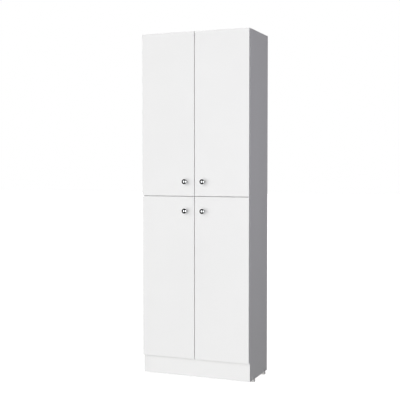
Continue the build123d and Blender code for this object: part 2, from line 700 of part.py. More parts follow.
for row, base in door_base.items():
    for side, hand in hands.items():
        where = f"{row}_{side}"
        cups = [(-hand * (half_width - cup_u), z) for z in rows[row]]
        screws = [(-hand * (half_width - cup_u - cup_screw_offset), z + step)
                  for z in rows[row]
                  for step in (-cup_screw_spacing / 2, cup_screw_spacing / 2)]
        knob_point = (-hand * knob_x, knob_levels[row])

        with BuildPart() as door:
            with BuildSketch(back_of_door):
                with Locations((-hand * (between_doors / 2 + door_width / 2),
                                base + door_height / 2)):
                    Rectangle(door_width, door_height)
            extrude(amount=-door_thickness)
            fillet(door.edges(), door_edge)
            with BuildSketch(back_of_door):
                with Locations(*cups):
                    Circle(cup_radius)
            extrude(amount=-cup_depth, mode=Mode.SUBTRACT)
            with BuildSketch(back_of_door):
                with Locations(*screws):
                    Circle(cup_screw_radius)
            extrude(amount=-cup_screw_depth, mode=Mode.SUBTRACT)
            with BuildSketch(back_of_door):
                with Locations(knob_point):
                    Circle(knob_screw_radius + fit)
            extrude(amount=-door_thickness, mode=Mode.SUBTRACT)
        door.part.label = f"door_{where}"
        export_step(door.part, f"parts/door_{where}.step")

        with BuildPart() as knob:
            with BuildSketch(Plane(origin=(hand * knob_x, door_front, knob_levels[row]),
                                   x_dir=(1, 0, 0), z_dir=(0, 0, 1))):
                with BuildLine():
                    Polyline((0, 0), (knob_foot, 0), (knob_foot, -knob_foot_height))
                    Spline((knob_foot, -knob_foot_height), (knob_neck, -knob_neck_height),
                           (knob_throat, -throat_height), (knob_face, -rim_back),
                           tangents=((-1, -0.6), (1, -0.45)))
                    ThreePointArc((knob_face, -rim_back),
                                  (knob_radius, -face_edge + knob_rim / 2),
                                  (knob_face, -face_edge))
                    ThreePointArc((knob_face, -face_edge), dome_middle,
                                  (0, -knob_projection))
                    Line((0, -knob_projection), (0, 0))
                make_face()
            revolve(axis=Axis((hand * knob_x, door_front, knob_levels[row]), (0, 1, 0)))
            with BuildSketch(back_of_door.offset(-door_thickness)):
                with Locations(knob_point):
                    Circle(knob_screw_radius + fit)
            extrude(amount=-(knob_screw_reach + knob_hole_spare), mode=Mode.SUBTRACT)
        knob.part.label = f"knob_{where}"
        export_step(knob.part, f"parts/knob_{where}.step")

        with BuildPart() as knob_screw:
            with Locations(facing((hand * knob_x, door_back, knob_levels[row]),
                                  (0, 1, 0))):
                add(knob_screw_blank)
        knob_screw.part.label = f"knob_screw_{where}"
        export_step(knob_screw.part, f"parts/knob_screw_{where}.step")

        with BuildPart() as door_buffers:
            levels = {"lower": (bottom_z + board / 2, base + door_height - buffer_level),
                      "upper": (base + buffer_level, top_z - board / 2)}[row]
            with BuildSketch(back_of_door):
                with Locations(*[(-hand * (between_doors / 2 + buffer_inset), z)
                                 for z in levels]):
                    Circle(buffer_radius)
            extrude(amount=buffer_thickness)
            fillet(door_buffers.edges().group_by(Axis.Y)[-1], buffer_round)
        door_buffers.part.label = f"door_buffers_{where}"
        export_step(door_buffers.part, f"parts/door_buffers_{where}.step")

        with BuildPart() as hinge_cups:
            with BuildSketch(back_of_door):
                with Locations(*cups):
                    Circle(cup_radius - fit)
            extrude(amount=-(cup_depth - fit))
            with BuildSketch(back_of_door):
                with Locations(*cups):
                    Circle(cup_radius)
                    with Locations((hand * (cup_ear_start + cup_ear_width / 2), 0)):
                        RectangleRounded(cup_ear_width, 2 * cup_ear_reach, cup_ear_corner)
            extrude(amount=cup_flange)
            with BuildSketch(back_of_door.offset(cup_flange)):
                with Locations(*cups):
                    Circle(cup_inner)
            extrude(amount=-(cup_flange + cup_depth - fit - cup_floor),
                    mode=Mode.SUBTRACT)
            with BuildSketch(back_of_door):
                with Locations(*screws):
                    Circle(cup_screw_radius + fit)
            extrude(amount=cup_flange, mode=Mode.SUBTRACT)
            for z in rows[row]:
                with BuildSketch(Plane.XY.offset(z - pin_half)):
                    with Locations(plan(hand, *link_pivot_door)):
                        Circle(pivot_door_radius)
                extrude(amount=2 * pin_half)
        hinge_cups.part.label = f"hinge_cups_{where}"
        export_step(hinge_cups.part, f"parts/hinge_cups_{where}.step")

        with BuildPart() as cup_screws:
            with Locations(*[facing((-x, door_back + cup_flange, z), (0, 1, 0))
                             for x, z in screws]):
                add(cup_screw_blank)
        cup_screws.part.label = f"cup_screws_{where}"
        export_step(cup_screws.part, f"parts/cup_screws_{where}.step")

        with BuildPart() as hinge_links:
            for z in rows[row]:
                with BuildSketch(Plane.XY.offset(z - link_half_width)):
                    for start, stop in ((link_pivot_door, link_bend),
                                        (link_bend, link_corner)):
                        Polygon(*[plan(hand, u, v) for u, v in
                                  bar_points(start, stop, link_thickness / 2)],
                                align=None)
                    with Locations(plan(hand, *link_bend), plan(hand, *link_corner)):
                        Circle(link_thickness / 2)
                    with Locations(plan(hand, *link_pivot_door)):
                        Circle(link_eye_door)
                    with Locations(plan(hand, *link_pivot_side)):
                        Circle(link_eye_side)
                    with Locations(plan(hand, *link_pivot_door)):
                        Circle(pivot_door_radius + fit, mode=Mode.SUBTRACT)
                    with Locations(plan(hand, *link_pivot_side)):
                        Circle(pivot_side_radius + fit, mode=Mode.SUBTRACT)
                extrude(amount=2 * link_half_width)
        hinge_links.part.label = f"hinge_links_{where}"
        export_step(hinge_links.part, f"parts/hinge_links_{where}.step")
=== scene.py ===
import json
import math

import bpy
from bpy.props import FloatProperty, FloatVectorProperty, IntProperty, PointerProperty
from bpy.types import Operator, Panel, PropertyGroup
from mathutils import Euler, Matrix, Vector


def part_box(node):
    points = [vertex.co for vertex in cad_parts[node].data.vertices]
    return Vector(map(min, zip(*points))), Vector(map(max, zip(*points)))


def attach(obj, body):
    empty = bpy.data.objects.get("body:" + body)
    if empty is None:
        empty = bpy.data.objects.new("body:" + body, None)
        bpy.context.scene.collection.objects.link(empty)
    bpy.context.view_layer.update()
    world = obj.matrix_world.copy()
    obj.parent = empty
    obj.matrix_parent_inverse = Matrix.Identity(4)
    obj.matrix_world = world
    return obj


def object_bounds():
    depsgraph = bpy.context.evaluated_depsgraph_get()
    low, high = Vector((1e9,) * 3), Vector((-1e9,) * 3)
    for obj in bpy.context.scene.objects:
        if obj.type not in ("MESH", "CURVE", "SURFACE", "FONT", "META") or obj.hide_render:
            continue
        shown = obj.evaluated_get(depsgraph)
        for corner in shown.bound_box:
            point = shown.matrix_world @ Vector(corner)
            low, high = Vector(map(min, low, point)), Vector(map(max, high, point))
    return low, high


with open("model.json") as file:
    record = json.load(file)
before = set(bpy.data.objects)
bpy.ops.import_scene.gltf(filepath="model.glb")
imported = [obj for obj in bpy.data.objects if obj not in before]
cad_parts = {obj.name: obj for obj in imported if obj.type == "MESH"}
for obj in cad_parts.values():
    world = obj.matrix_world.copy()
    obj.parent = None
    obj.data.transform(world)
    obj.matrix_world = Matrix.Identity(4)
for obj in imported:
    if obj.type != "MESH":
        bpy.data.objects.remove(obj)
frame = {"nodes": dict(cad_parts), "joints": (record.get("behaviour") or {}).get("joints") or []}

bl_info = {
    "name": "Pantry Cabinet",
    "version": (1, 0, 0),
    "blender": (4, 5, 0),
    "location": "View3D > Sidebar > Cabinet",
    "description": "Finishes, small fittings and studio for a white four-door cabinet",
    "category": "Object",
}

NODES = frame["nodes"]
JOINTS = {joint["name"]: joint for joint in frame["joints"]}
CAD_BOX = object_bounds()
DOORS = ("lower_left", "lower_right", "upper_left", "upper_right")
FIXED_BOARDS = ("bottom_panel", "middle_shelf", "top_panel")
SHELVES = ("shelf_lower_1", "shelf_lower_2", "shelf_upper_1", "shelf_upper_2")
SIDES = ("side_panel_left", "side_panel_right")
FEET = ("foot_front_left", "foot_front_right", "foot_rear_left", "foot_rear_right")
REARWARD = (0, 1, 0)
DOWNWARD = (0, 0, -1)
MM = 0.001

# Most values of a noise texture lie between these two
NOISE_LOW, NOISE_HIGH = 0.3, 0.7
# Cosine between the true and the rounded normal, on an edge and on flat ground
EDGE_COSINE, FLAT_COSINE = 0.80, 0.995
BEVEL_SAMPLES = 6

STEPS_PER_TURN = 16         # of a spring's line
WIRE_RESOLUTION = 3
CAP_STEPS = 40              # faces round a cap
CAP_RIM_STEPS = 6           # in a cap's rounded rim
SMALLEST_RADIUS = 1e-7      # below this a turned profile meets its axis

# Panels mirrored in polished metal: directions, half angles in degrees at
# which they are fully and no longer lit, and height over width
SOFTBOX_WAYS = ((-0.42, -0.91, 0.0), (0.45, -0.89, 0.0))
SOFTBOX_FULL, SOFTBOX_OUTER = 12.5, 17.5
SOFTBOX_TALL = 1.5
WHITE = (1.0, 1.0, 1.0, 1.0)
SUN_PLACE = (0.0, 0.0, 3.0)
FLOOR_HALF = 30.0           # half the floor's edge, in metres
SENSOR_WIDTH = 36.0         # millimetres
CLIP_NEAR, CLIP_FAR = 0.05, 100.0


# ------------------------------------------------------------------ settings
class CabinetFinish(PropertyGroup):
    """Colours and surface values of the cabinet's finishes"""

    melamine_colour: FloatVectorProperty(
        name="Melamine", description="White coating of doors, sides and shelves",
        subtype="COLOR", size=3, min=0.0, max=1.0, default=(0.835, 0.835, 0.83))
    melamine_roughness: FloatProperty(
        name="Melamine roughness", description="Satin sheen of the coated boards",
        subtype="FACTOR", min=0.0, max=1.0, default=0.46)
    chipboard_colour: FloatVectorProperty(
        name="Chipboard", description="Raw edges that face the wall and the floor",
        subtype="COLOR", size=3, min=0.0, max=1.0, default=(0.50, 0.36, 0.22))
    hardboard_colour: FloatVectorProperty(
        name="Hardboard", description="Uncoated rear face of the back panels",
        subtype="COLOR", size=3, min=0.0, max=1.0, default=(0.38, 0.245, 0.135))
    chrome_colour: FloatVectorProperty(
        name="Chrome", description="Polished metal of the knobs",
        subtype="COLOR", size=3, min=0.0, max=1.0, default=(0.80, 0.81, 0.82))
    nickel_colour: FloatVectorProperty(
        name="Nickel", description="Plated sheet of the hinges and the bracket",
        subtype="COLOR", size=3, min=0.0, max=1.0, default=(0.63, 0.62, 0.60))
    zinc_colour: FloatVectorProperty(
        name="Zinc", description="Screws, bolts and cams",
        subtype="COLOR", size=3, min=0.0, max=1.0, default=(0.52, 0.53, 0.55))
    foot_colour: FloatVectorProperty(
        name="Foot plastic", description="Moulded glide feet",
        subtype="COLOR", size=3, min=0.0, max=1.0, default=(0.74, 0.74, 0.72))
    beech_colour: FloatVectorProperty(
        name="Beech", description="Wooden dowels",
        subtype="COLOR", size=3, min=0.0, max=1.0, default=(0.62, 0.43, 0.26))
    buffer_colour: FloatVectorProperty(
        name="Buffers", description="Soft pads behind the doors",
        subtype="COLOR", size=3, min=0.0, max=1.0, default=(0.80, 0.80, 0.78))
    edge_wear: FloatProperty(
        name="Edge wear", description="How much edges and corners are rubbed",
        subtype="FACTOR", min=0.0, max=1.0, default=0.35)


class CabinetFittings(PropertyGroup):
    """Sizes of the small fittings added to the frame"""

    cap_radius: FloatProperty(
        name="Cap radius", description="Plastic cap over a cam lock",
        subtype="DISTANCE", unit="LENGTH", default=8.6 * MM)
    cap_height: FloatProperty(
        name="Cap height", description="How far a cap stands off its board",
        subtype="DISTANCE", unit="LENGTH", default=1.1 * MM)
    cap_round: FloatProperty(
        name="Cap rounding", description="How far the rounded rim reaches in",
        subtype="DISTANCE", unit="LENGTH", default=0.9 * MM)
    cam_from_end: FloatProperty(
        name="Cam from end", description="Cam centre from the end of its board",
        subtype="DISTANCE", unit="LENGTH", default=24.0 * MM)
    cam_inset: FloatProperty(
        name="Cam inset", description="Cam centre from the front or rear edge",
        subtype="DISTANCE", unit="LENGTH", default=60.0 * MM)
    spring_wire: FloatProperty(
        name="Spring wire", description="Wire radius of the hinge springs",
        subtype="DISTANCE", unit="LENGTH", default=0.32 * MM)
    spring_radius: FloatProperty(
        name="Spring radius", description="Coil radius round the cup's pin",
        subtype="DISTANCE", unit="LENGTH", default=1.62 * MM)
    spring_pitch: FloatProperty(
        name="Spring pitch", description="Distance from turn to turn",
        subtype="DISTANCE", unit="LENGTH", default=0.70 * MM)
    spring_turns: IntProperty(
        name="Spring turns", description="Turns on each side of the link",
        min=1, max=6, default=3)
    spring_leg: FloatProperty(
        name="Spring leg", description="Straight end that presses on the cup",
        subtype="DISTANCE", unit="LENGTH", default=6.1 * MM)
    spring_lean: FloatProperty(
        name="Spring lean", description="Forward share of a leg, per length inward",
        min=0.0, default=0.9)
    link_half_width: FloatProperty(
        name="Link half width", description="Half the width of a hinge link",
        subtype="DISTANCE", unit="LENGTH", default=4.0 * MM)
    link_play: FloatProperty(
        name="Link play", description="Room between a link and its springs",
        subtype="DISTANCE", unit="LENGTH", default=0.2 * MM)


class CabinetStage(PropertyGroup):
    """Camera and lights"""

    camera_place: FloatVectorProperty(
        name="Camera", description="Camera position in the cabinet's frame",
        subtype="XYZ", unit="LENGTH", size=3, default=(1.6786, -4.1815, 1.1081))
    camera_turn: FloatProperty(
        name="Turn", description="Camera heading to the left of straight ahead",
        subtype="ANGLE", unit="ROTATION", default=math.radians(22.18))
    camera_dip: FloatProperty(
        name="Dip", description="Camera tilt below the horizon",
        subtype="ANGLE", unit="ROTATION", default=math.radians(2.19))
    lens: FloatProperty(
        name="Lens", description="Focal length in millimetres", default=75.92)
    key_strength: FloatProperty(
        name="Key light", description="Strength of the broad light on the doors",
        min=0.0, default=2.45)
    key_softness: FloatProperty(
        name="Key softness", description="Apparent width of the broad light",
        subtype="ANGLE", unit="ROTATION", default=math.radians(80.0))
    key_way: FloatVectorProperty(
        name="Key direction", description="The way the broad light travels",
        subtype="DIRECTION", size=3, default=(0.38, 1.0, -0.12))
    side_power: FloatProperty(
        name="Side light", description="Power of the small light beside the cabinet",
        min=0.0, default=5.9)
    side_colour: FloatVectorProperty(
        name="Side light colour", description="Faintly cool",
        subtype="COLOR", size=3, min=0.0, max=1.0, default=(0.80, 0.76, 1.0))
    side_place: FloatVectorProperty(
        name="Side light place", description="Where the small light hangs",
        subtype="XYZ", unit="LENGTH", size=3, default=(2.3, -0.9, 1.55))
    side_size: FloatProperty(
        name="Side light size", description="Edge of the small square light",
        subtype="DISTANCE", unit="LENGTH", default=0.8)
    back_strength: FloatProperty(
        name="Back light", description="Soft light on the rear and the top",
        min=0.0, default=0.7)
    back_way: FloatVectorProperty(
        name="Back light direction", description="The way the back light travels",
        subtype="DIRECTION", size=3, default=(0.25, -1.0, -0.55))
    sky_strength: FloatProperty(
        name="Room light", description="Even light from all round",
        min=0.0, default=0.26)
    softbox: FloatProperty(
        name="Softboxes", description="Two white panels mirrored in polished metal",
        min=0.0, default=3.0)
    dark_side: FloatProperty(
        name="Dark surround", description="Room beside the panels, mirrored in metal",
        min=0.0, default=0.03)
    floor_glow: FloatProperty(
        name="Floor glow", description="Light that the white floor gives off",
        min=0.0, default=0.88)


# ------------------------------------------------------------ material tools
class Tree:
    """A node tree under construction, with short calls for its nodes"""

    def __init__(self, tree):
        self.tree = tree

    def add(self, kind, **settings):
        node = self.tree.nodes.new(kind)
        for key, value in settings.items():
            setattr(node, key, value)
        return node

    def join(self, output, socket):
        self.tree.links.new(output, socket)

    def remap(self, value, to_low=0.0, to_high=1.0, low=NOISE_LOW, high=NOISE_HIGH):
        """Map low..high to to_low..to_high, held at both ends"""
        node = self.add("ShaderNodeMapRange")
        for name, number in (("From Min", low), ("From Max", high),
                             ("To Min", to_low), ("To Max", to_high)):
            node.inputs[name].default_value = number
        self.join(value, node.inputs["Value"])
        return node.outputs["Result"]

    def math(self, operation, first, second):
        node = self.add("ShaderNodeMath", operation=operation)
        for socket, value in zip(node.inputs, (first, second)):
            if isinstance(value, (int, float)):
                socket.default_value = value
            else:
                self.join(value, socket)
        return node.outputs["Value"]

    def along(self, vector, way):
        """How far a vector points along a fixed way"""
        dot = self.add("ShaderNodeVectorMath", operation="DOT_PRODUCT")
        self.join(vector, dot.inputs[0])
        dot.inputs[1].default_value = way
        return dot.outputs["Value"]


class Finish(Tree):
    """A principled material, with short calls for its textures and sockets"""

    def __init__(self, name):
        self.material = bpy.data.materials.new(name)
        self.material.use_nodes = True
        super().__init__(self.material.node_tree)
        self.shader = self.tree.nodes["Principled BSDF"]
        self.place = self.add("ShaderNodeTexCoord")

    def set(self, **values):
        """Set uniform values of the shader, Emission_Color for Emission Color"""
        for name, value in values.items():
            self.shader.inputs[name.replace("_", " ")].default_value = value

    def stretched(self, scale):
        """Object coordinates with a scale of their own along each axis"""
        mapping = self.add("ShaderNodeMapping")
        mapping.inputs["Scale"].default_value = scale
        self.join(self.place.outputs["Object"], mapping.inputs["Vector"])
        return mapping.outputs["Vector"]

    def noise(self, scale, detail=3.0, rough=0.5, vector=None):
        """Noise in object space, or along another vector"""
        node = self.add("ShaderNodeTexNoise")
        node.inputs["Scale"].default_value = scale
        node.inputs["Detail"].default_value = detail
        node.inputs["Roughness"].default_value = rough
        self.join(vector or self.place.outputs["Object"], node.inputs["Vector"])
        return node.outputs["Fac"]

    def blend(self, factor, first, second):
        """Mix two colours, each a colour or another node's output"""
        node = self.add("ShaderNodeMix", data_type="RGBA")
        for name, value in (("Factor_Float", factor), ("A_Color", first),
                            ("B_Color", second)):
            socket = next(s for s in node.inputs if s.identifier == name)
            if hasattr(value, "is_linked"):
                self.join(value, socket)
            else:
                socket.default_value = (*value, 1.0)
        return next(s for s in node.outputs if s.identifier == "Result_Color")

    def edges(self, radius):
        """1 on sharp edges, 0 on flat ground, from a rounded normal"""
        bevel = self.add("ShaderNodeBevel", samples=BEVEL_SAMPLES)
        bevel.inputs["Radius"].default_value = radius
        true = self.add("ShaderNodeNewGeometry")
        dot = self.add("ShaderNodeVectorMath", operation="DOT_PRODUCT")
        self.join(bevel.outputs["Normal"], dot.inputs[0])
        self.join(true.outputs["Normal"], dot.inputs[1])
        return self.remap(dot.outputs["Value"], 1.0, 0.0, EDGE_COSINE, FLAT_COSINE)

    def facing(self, axis, threshold=0.8):
        """1 where the surface looks along one way of the piece's own axes"""
        return self.math("GREATER_THAN", self.along(self.place.outputs["Normal"], axis),
                         threshold)

    def colour(self, output):
        self.join(output, self.shader.inputs["Base Color"])

    def roughness(self, output):
        self.join(output, self.shader.inputs["Roughness"])

    def relief(self, height, strength, depth):
        """A bump too fine for the mesh; depth in metres"""
        bump = self.add("ShaderNodeBump")
        bump.inputs["Strength"].default_value = strength
        bump.inputs["Distance"].default_value = depth
        self.join(height, bump.inputs["Height"])
        self.join(bump.outputs["Normal"], self.shader.inputs["Normal"])


def tint(colour, factor):
    """A colour made lighter or darker, capped at white"""
    return tuple(min(1.0, c * factor) for c in colour)


def dress(names, material):
    """Give CAD nodes their finish"""
    for name in names:
        for slot in NODES[name].material_slots:
            slot.material = material


def melamine(name, values, raw_ways=()):
    """Coated board; raw_ways are the directions of its uncoated edges"""
    coat = Finish(name)
    base = values.melamine_colour
    cloud = coat.remap(coat.noise(scale=2.2))
    colour = coat.blend(cloud, tint(base, 0.988), tint(base, 1.008))
    speck = coat.remap(coat.noise(scale=900.0, detail=2.0), to_high=0.05,
                       low=0.60, high=0.78)
    colour = coat.blend(speck, colour, tint(base, 0.86))
    worn = coat.math("MULTIPLY", coat.edges(radius=1.1 * MM),
                     coat.remap(coat.noise(scale=38.0, detail=4.0), to_low=0.2,
                                low=0.35))
    most_wear = 0.45
    colour = coat.blend(coat.math("MULTIPLY", worn, values.edge_wear * most_wear),
                        colour, tint(base, 0.80))
    sheen_spread = 0.05
    rough = coat.remap(coat.noise(scale=14.0, detail=5.0),
                       values.melamine_roughness - sheen_spread,
                       values.melamine_roughness + sheen_spread)
    fine = coat.noise(scale=1500.0, detail=2.0, rough=0.6)
    if raw_ways:
        chips = coat.add("ShaderNodeTexVoronoi", feature="F1")
        chips.inputs["Scale"].default_value = 520.0
        coat.join(coat.place.outputs["Object"], chips.inputs["Vector"])
        wood = values.chipboard_colour
        raw = coat.blend(coat.remap(chips.outputs["Distance"], low=0.1),
                         tint(wood, 1.25), tint(wood, 0.55))
        dust = coat.remap(coat.noise(scale=240.0, detail=4.0), to_high=0.6,
                          low=0.35, high=0.65)
        raw = coat.blend(dust, raw, tint(wood, 0.8))
        mask = coat.facing(raw_ways[0])
        for way in raw_ways[1:]:
            mask = coat.math("MAXIMUM", mask, coat.facing(way))
        colour = coat.blend(mask, colour, raw)
        raw_rough = 0.85
        rough = coat.math("MAXIMUM", rough, coat.math("MULTIPLY", mask, raw_rough))
    coat.colour(colour)
    coat.roughness(rough)
    coat.relief(fine, strength=0.10, depth=0.06 * MM)
    coat.set(IOR=1.48)
    return coat.material


def plated(name, colour, shiny, dull, grain, scratch=0.0):
    """Metal whose roughness runs from shiny to dull, with rubbed edges"""
    metal = Finish(name)
    patch = metal.remap(metal.noise(grain, detail=4.0))
    shade = metal.blend(patch, tint(colour, 0.93), tint(colour, 1.04))
    most_rubbed = 0.5
    rubbed = metal.math("MULTIPLY", metal.edges(radius=0.5 * MM), most_rubbed)
    metal.colour(metal.blend(rubbed, shade, tint(colour, 1.22)))
    # The roughness and the relief are finer than the patches of shade
    rough_grain, relief_grain = 1.7 * grain, 6.0 * grain
    rough = metal.remap(metal.noise(rough_grain, detail=5.0, rough=0.65), shiny, dull)
    if scratch:
        line = metal.noise(scale=60.0, detail=2.0,
                           vector=metal.stretched((40.0, 1.5, 18.0)))
        rough = metal.math("ADD", rough, metal.remap(line, to_high=scratch,
                                                     low=0.62, high=0.75))
    metal.roughness(rough)
    metal.relief(metal.noise(relief_grain, detail=2.0), strength=0.08, depth=0.03 * MM)
    metal.set(Metallic=1.0)
    return metal.material


def plastic(name, colour, rough, texture):
    """Moulded plastic with a fine spark-eroded skin"""
    skin = Finish(name)
    flow = skin.remap(skin.noise(scale=55.0))
    shade = skin.blend(flow, tint(colour, 0.95), tint(colour, 1.03))
    scuff = skin.math("MULTIPLY", skin.edges(radius=0.7 * MM),
                      skin.remap(skin.noise(scale=300.0), to_high=0.5, low=0.4))
    skin.colour(skin.blend(scuff, shade, tint(colour, 0.72)))
    smoother, rougher = 0.06, 0.08
    skin.roughness(skin.remap(skin.noise(scale=180.0, detail=4.0), rough - smoother,
                              rough + rougher))
    skin.relief(skin.noise(texture, rough=0.6), strength=0.25, depth=0.05 * MM)
    skin.set(IOR=1.46)
    return skin.material


def lathe(name, profile, steps, places):
    """Turned pieces: a profile of (radius, height) spun about each place's Z"""
    verts, faces = [], []
    for place, turn in places:
        rings = []
        for radius, height in profile:
            if radius < SMALLEST_RADIUS:
                rings.append([len(verts)])
                verts.append(place + turn @ Vector((0.0, 0.0, height)))
                continue
            ring = []
            for i in range(steps):
                angle = 2 * math.pi * i / steps
                ring.append(len(verts))
                verts.append(place + turn @ Vector((radius * math.cos(angle),
                                                    radius * math.sin(angle), height)))
            rings.append(ring)
        for low, high in zip(rings, rings[1:]):
            for i in range(steps):
                j = (i + 1) % steps
                face = [low[i % len(low)], low[j % len(low)],
                        high[j % len(high)], high[i % len(high)]]
                faces.append(list(dict.fromkeys(face)))
    mesh = bpy.data.meshes.new(name)
    mesh.from_pydata(verts, [], faces)
    mesh.validate()
    mesh.polygons.foreach_set("use_smooth", [True] * len(mesh.polygons))
    piece = bpy.data.objects.new(name, mesh)
    bpy.context.scene.collection.objects.link(piece)
    return piece


def add_piece(piece, body, material):
    """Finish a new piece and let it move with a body"""
    piece.data.materials.append(material)
    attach(piece, body)


# ------------------------------------------------------------------ operators
class CABINET_OT_carcass(Operator):
    """Coat the side panels, shelves, fixed boards and plinth"""

    bl_idname = "cabinet.carcass"
    bl_label = "Carcass boards"

    def execute(self, context):
        values = context.scene.cabinet_finish
        side = melamine("melamine_sides", values, (REARWARD, DOWNWARD))
        board = melamine("melamine_boards", values, (REARWARD,))
        dress(SIDES, side)
        dress(FIXED_BOARDS + SHELVES, board)
        dress(("plinth",), melamine("melamine_plinth", values, (DOWNWARD,)))
        return {"FINISHED"}


class CABINET_OT_doors(Operator):
    """Coat the four doors, edges included"""

    bl_idname = "cabinet.doors"
    bl_label = "Doors"

    def execute(self, context):
        values = context.scene.cabinet_finish
        dress([f"door_{d}" for d in DOORS], melamine("melamine_doors", values))
        return {"FINISHED"}


class CABINET_OT_back(Operator):
    """Lacquered inside and screen-pressed outside of the back panels"""

    bl_idname = "cabinet.back"
    bl_label = "Back panels"

    def execute(self, context):
        values = context.scene.cabinet_finish
        skin = Finish("hardboard_back")
        white = values.melamine_colour
        brown = values.hardboard_colour
        lacquer = skin.blend(skin.remap(skin.noise(scale=5.0)),
                             tint(white, 0.93), tint(white, 0.97))
        fibre = skin.noise(scale=420.0, detail=5.0, rough=0.7,
                           vector=skin.stretched((1.0, 1.0, 0.35)))
        raw = skin.blend(skin.remap(fibre, low=0.35, high=0.65),
                         tint(brown, 0.72), tint(brown, 1.3))
        stain = skin.remap(skin.noise(scale=3.5, detail=4.0), to_high=0.35, low=0.35)
        raw = skin.blend(stain, raw, tint(brown, 0.8))
        # Negative, so that the sheet's cut edges count as its rear
        rear = skin.facing(REARWARD, threshold=-0.5)
        skin.colour(skin.blend(rear, lacquer, raw))
        lacquer_rough, extra_rough = 0.42, 0.4
        skin.roughness(skin.math("ADD", lacquer_rough,
                                 skin.math("MULTIPLY", rear, extra_rough)))
        weave = skin.add("ShaderNodeTexWave", wave_type="BANDS",
                         bands_direction="DIAGONAL")
        weave.inputs["Scale"].default_value = 260.0
        skin.join(skin.place.outputs["Object"], weave.inputs["Vector"])
        press = skin.math("MULTIPLY", rear, weave.outputs["Fac"])
        skin.relief(skin.math("ADD", press, fibre), strength=0.35, depth=0.12 * MM)
        dress(("back_panel_lower", "back_panel_upper"), skin.material)
        return {"FINISHED"}


class CABINET_OT_knobs(Operator):
    """Polish the four round knobs"""

    bl_idname = "cabinet.knobs"
    bl_label = "Knobs"

    def execute(self, context):
        values = context.scene.cabinet_finish
        chrome = plated("knob_chrome", values.chrome_colour, shiny=0.045, dull=0.10,
                        grain=120.0, scratch=0.03)
        dress([f"knob_{d}" for d in DOORS], chrome)
        return {"FINISHED"}


class CABINET_OT_hinges(Operator):
    """Plate the hinge arms, plates, cups and links, and the wall bracket"""

    bl_idname = "cabinet.hinges"
    bl_label = "Hinges"

    def execute(self, context):
        values = context.scene.cabinet_finish
        nickel = plated("hinge_nickel", values.nickel_colour, shiny=0.20, dull=0.27,
                        grain=260.0, scratch=0.05)
        names = ["hinge_arms", "hinge_plates", "wall_bracket"]
        names += [f"hinge_cups_{d}" for d in DOORS]
        names += [f"hinge_links_{d}" for d in DOORS]
        dress(names, nickel)
        return {"FINISHED"}


class CABINET_OT_hinge_springs(Operator):
    """Wind a closing spring on each side of the link, round every cup's pin"""

    bl_idname = "cabinet.hinge_springs"
    bl_label = "Hinge springs"

    def execute(self, context):
        sizes = context.scene.cabinet_fittings
        values = context.scene.cabinet_finish
        steel = plated("spring_steel", tint(values.zinc_colour, 0.9), shiny=0.22,
                       dull=0.34, grain=500.0)
        for door in DOORS:
            pin = Vector(JOINTS[f"door_swing_{door}"]["pos_m"])
            low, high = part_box(f"hinge_links_{door}")
            wire = bpy.data.curves.new(f"hinge_springs_{door}", "CURVE")
            wire.dimensions = "3D"
            wire.bevel_depth = sizes.spring_wire
            wire.bevel_resolution = WIRE_RESOLUTION
            wire.use_fill_caps = True
            for edge, step in ((low.z, 1), (high.z, -1)):
                middle = edge + step * sizes.link_half_width
                for way in (-1, 1):
                    self.wind(wire, Vector((pin.x, pin.y, middle)), way, sizes)
            springs = bpy.data.objects.new(wire.name, wire)
            context.scene.collection.objects.link(springs)
            add_piece(springs, f"door_{door}", steel)
        return {"FINISHED"}

    def wind(self, wire, middle, way, sizes):
        """One coil along Z from the link outwards, ended by a straight leg"""
        inward = -math.copysign(1.0, middle.x)
        start = sizes.link_half_width + sizes.link_play + sizes.spring_wire
        steps = STEPS_PER_TURN * sizes.spring_turns
        points = []
        for i in range(steps + 1):
            turn = i / STEPS_PER_TURN
            angle = 2 * math.pi * turn
            offset = Vector((inward * sizes.spring_radius * math.sin(angle),
                             -sizes.spring_radius * math.cos(angle),
                             way * (start + sizes.spring_pitch * turn)))
            points.append(middle + offset)
        leg = Vector((inward, -sizes.spring_lean, 0.0)).normalized()
        points.append(points[-1] + sizes.spring_leg * leg)
        spline = wire.splines.new("POLY")
        spline.points.add(len(points) - 1)
        for knot, point in zip(spline.points, points):
            knot.co = (*point, 1.0)


class CABINET_OT_fasteners(Operator):
    """Finish the screws, bolts, cams, shelf pins, nails and dowels"""

    bl_idname = "cabinet.fasteners"
    bl_label = "Fasteners"

    def execute(self, context):
        values = context.scene.cabinet_finish
        zinc = plated("zinc_screws", values.zinc_colour, shiny=0.26, dull=0.42,
                      grain=160.0)
        names = ["hinge_plate_screws", "hinge_arm_screws", "bracket_screw", "cam_bolts"]
        names += [f"{kind}_{d}" for d in DOORS for kind in ("knob_screw", "cup_screws")]
        dress(names, zinc)
        cast = plated("cam_casting", tint(values.zinc_colour, 0.9), shiny=0.42,
                      dull=0.6, grain=260.0)
        dress(("cam_locks",), cast)
        pins = plated("pin_nickel", values.nickel_colour, shiny=0.16, dull=0.28,
                      grain=150.0)
        dress(("shelf_pins",), pins)
        bright = plated("nail_steel", tint(values.zinc_colour, 0.8), shiny=0.34,
                        dull=0.5, grain=300.0)
        dress(("back_nails", "foot_nails"), bright)
        wood = Finish("dowel_beech")
        beech = values.beech_colour
        grain = wood.noise(scale=160.0, detail=4.0, rough=0.6,
                           vector=wood.stretched((0.08, 1.0, 1.0)))
        wood.colour(wood.blend(wood.remap(grain), tint(beech, 0.8), tint(beech, 1.15)))
        wood.roughness(wood.remap(grain, 0.6, 0.75))
        wood.relief(grain, strength=0.3, depth=0.08 * MM)
        dress(("wooden_dowels",), wood.material)
        return {"FINISHED"}


